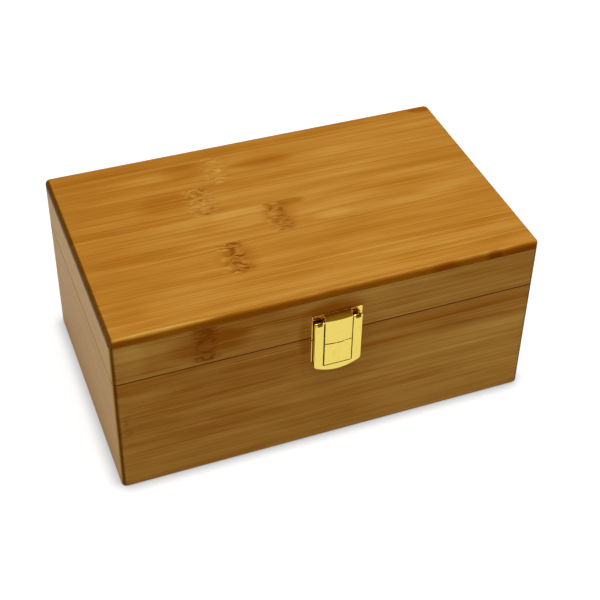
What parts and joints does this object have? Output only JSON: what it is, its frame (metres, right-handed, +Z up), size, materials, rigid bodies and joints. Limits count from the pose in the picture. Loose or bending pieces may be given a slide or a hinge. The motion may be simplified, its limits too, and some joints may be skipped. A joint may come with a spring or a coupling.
{
  "type": "wooden jewelry box",
  "caption": "Rectangular bamboo keepsake box with a hinged lid, rounded lid board, lined inside, and a metal snap latch whose frame swings up.",
  "frame": {"origin": "middle of the underside, on the surface that the box stands on", "axes": "+X to the right along the longest side, +Y from the latch to the hinges, +Z up"},
  "size_m": [0.225, 0.1447, 0.0995],
  "materials": {
    "bamboo_top": "glossy lacquered caramel bamboo, wide strips with node marks",
    "bamboo_wall": "lacquered caramel bamboo, grain along each board",
    "bamboo_panel": "thinly lacquered bamboo board",
    "gold_plate": "polished gold-coloured plating",
    "velvet": "short-pile cream velvet over card"
  },
  "bodies": {
    "base": {"base_front_wall": "bamboo_wall", "base_right_wall": "bamboo_wall", "base_back_wall": "bamboo_wall", "base_left_wall": "bamboo_wall", "base_bottom_panel": "bamboo_panel", "base_floor_lining": "velvet", "base_front_lining": "velvet", "base_right_lining": "velvet", "base_back_lining": "velvet", "base_left_lining": "velvet", "hinge_left_base_leaf": "gold_plate", "hinge_left_pin": "gold_plate", "hinge_left_base_outer_screw": "gold_plate", "hinge_left_base_inner_screw": "gold_plate", "hinge_right_base_leaf": "gold_plate", "hinge_right_pin": "gold_plate", "hinge_right_base_outer_screw": "gold_plate", "hinge_right_base_inner_screw": "gold_plate", "latch_catch_plate": "gold_plate", "latch_catch_left_nail": "gold_plate", "latch_catch_right_nail": "gold_plate"},
    "lid": {"lid_front_rail": "bamboo_wall", "lid_right_rail": "bamboo_wall", "lid_back_rail": "bamboo_wall", "lid_left_rail": "bamboo_wall", "lid_top_board": "bamboo_top", "lid_lining": "velvet", "hinge_left_lid_leaf": "gold_plate", "hinge_left_lid_outer_screw": "gold_plate", "hinge_left_lid_inner_screw": "gold_plate", "hinge_right_lid_leaf": "gold_plate", "hinge_right_lid_outer_screw": "gold_plate", "hinge_right_lid_inner_screw": "gold_plate", "latch_lid_plate": "gold_plate", "latch_pin": "gold_plate", "latch_lid_left_nail": "gold_plate", "latch_lid_right_nail": "gold_plate"},
    "latch_frame": {"latch_frame": "gold_plate"}
  },
  "joints": [
    {"name": "lid_hinge", "type": "hinge", "parent": "base", "child": "lid", "pos_m": [0, 0.0707, 0.0715], "axis": [-1, 0, 0], "range_deg": [0, 97]},
    {"name": "latch_swing", "type": "hinge", "parent": "lid", "child": "latch_frame", "pos_m": [0.0014, -0.07075, 0.0812], "axis": [-1, 0, 0], "range_deg": [0, 180]}
  ]
}
